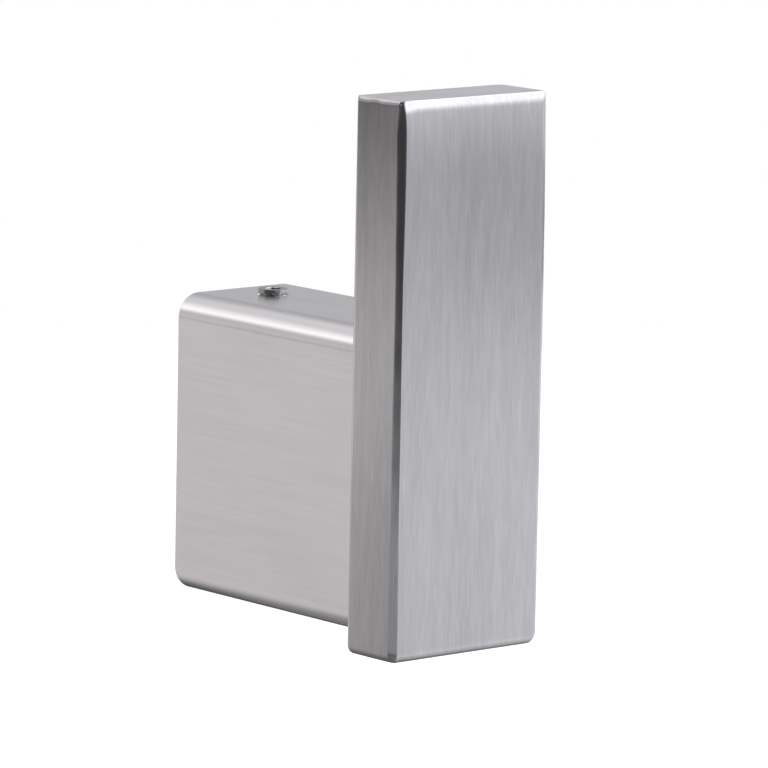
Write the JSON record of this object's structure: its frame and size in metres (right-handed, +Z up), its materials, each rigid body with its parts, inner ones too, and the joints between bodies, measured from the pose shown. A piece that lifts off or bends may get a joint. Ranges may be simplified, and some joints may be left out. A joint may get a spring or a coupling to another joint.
{
  "type": "coat hook",
  "caption": "Wall coat hook in brushed stainless steel: a flat upright bar across the end of a rectangular hollow post, locked on a folded wall bracket by a grub screw.",
  "frame": {"origin": "midway between the wall bracket's two screw holes, on the wall plane", "axes": "+Z up along the upright bar, +Y into the wall, +X to the right of someone who faces the hook, whose front faces -Y"},
  "size_m": [0.025, 0.0475, 0.0724],
  "materials": {
    "upright_steel": "brushed along the bar's height, edges dressed",
    "post_steel": "fine satin, brushed from wall to front",
    "bracket_steel": "plain rolled sheet",
    "screw_steel": "turned and bright"
  },
  "bodies": {
    "root": {"upright": "upright_steel", "post": "post_steel", "wall_bracket": "bracket_steel", "grub_screw": "screw_steel"}
  },
  "joints": []
}
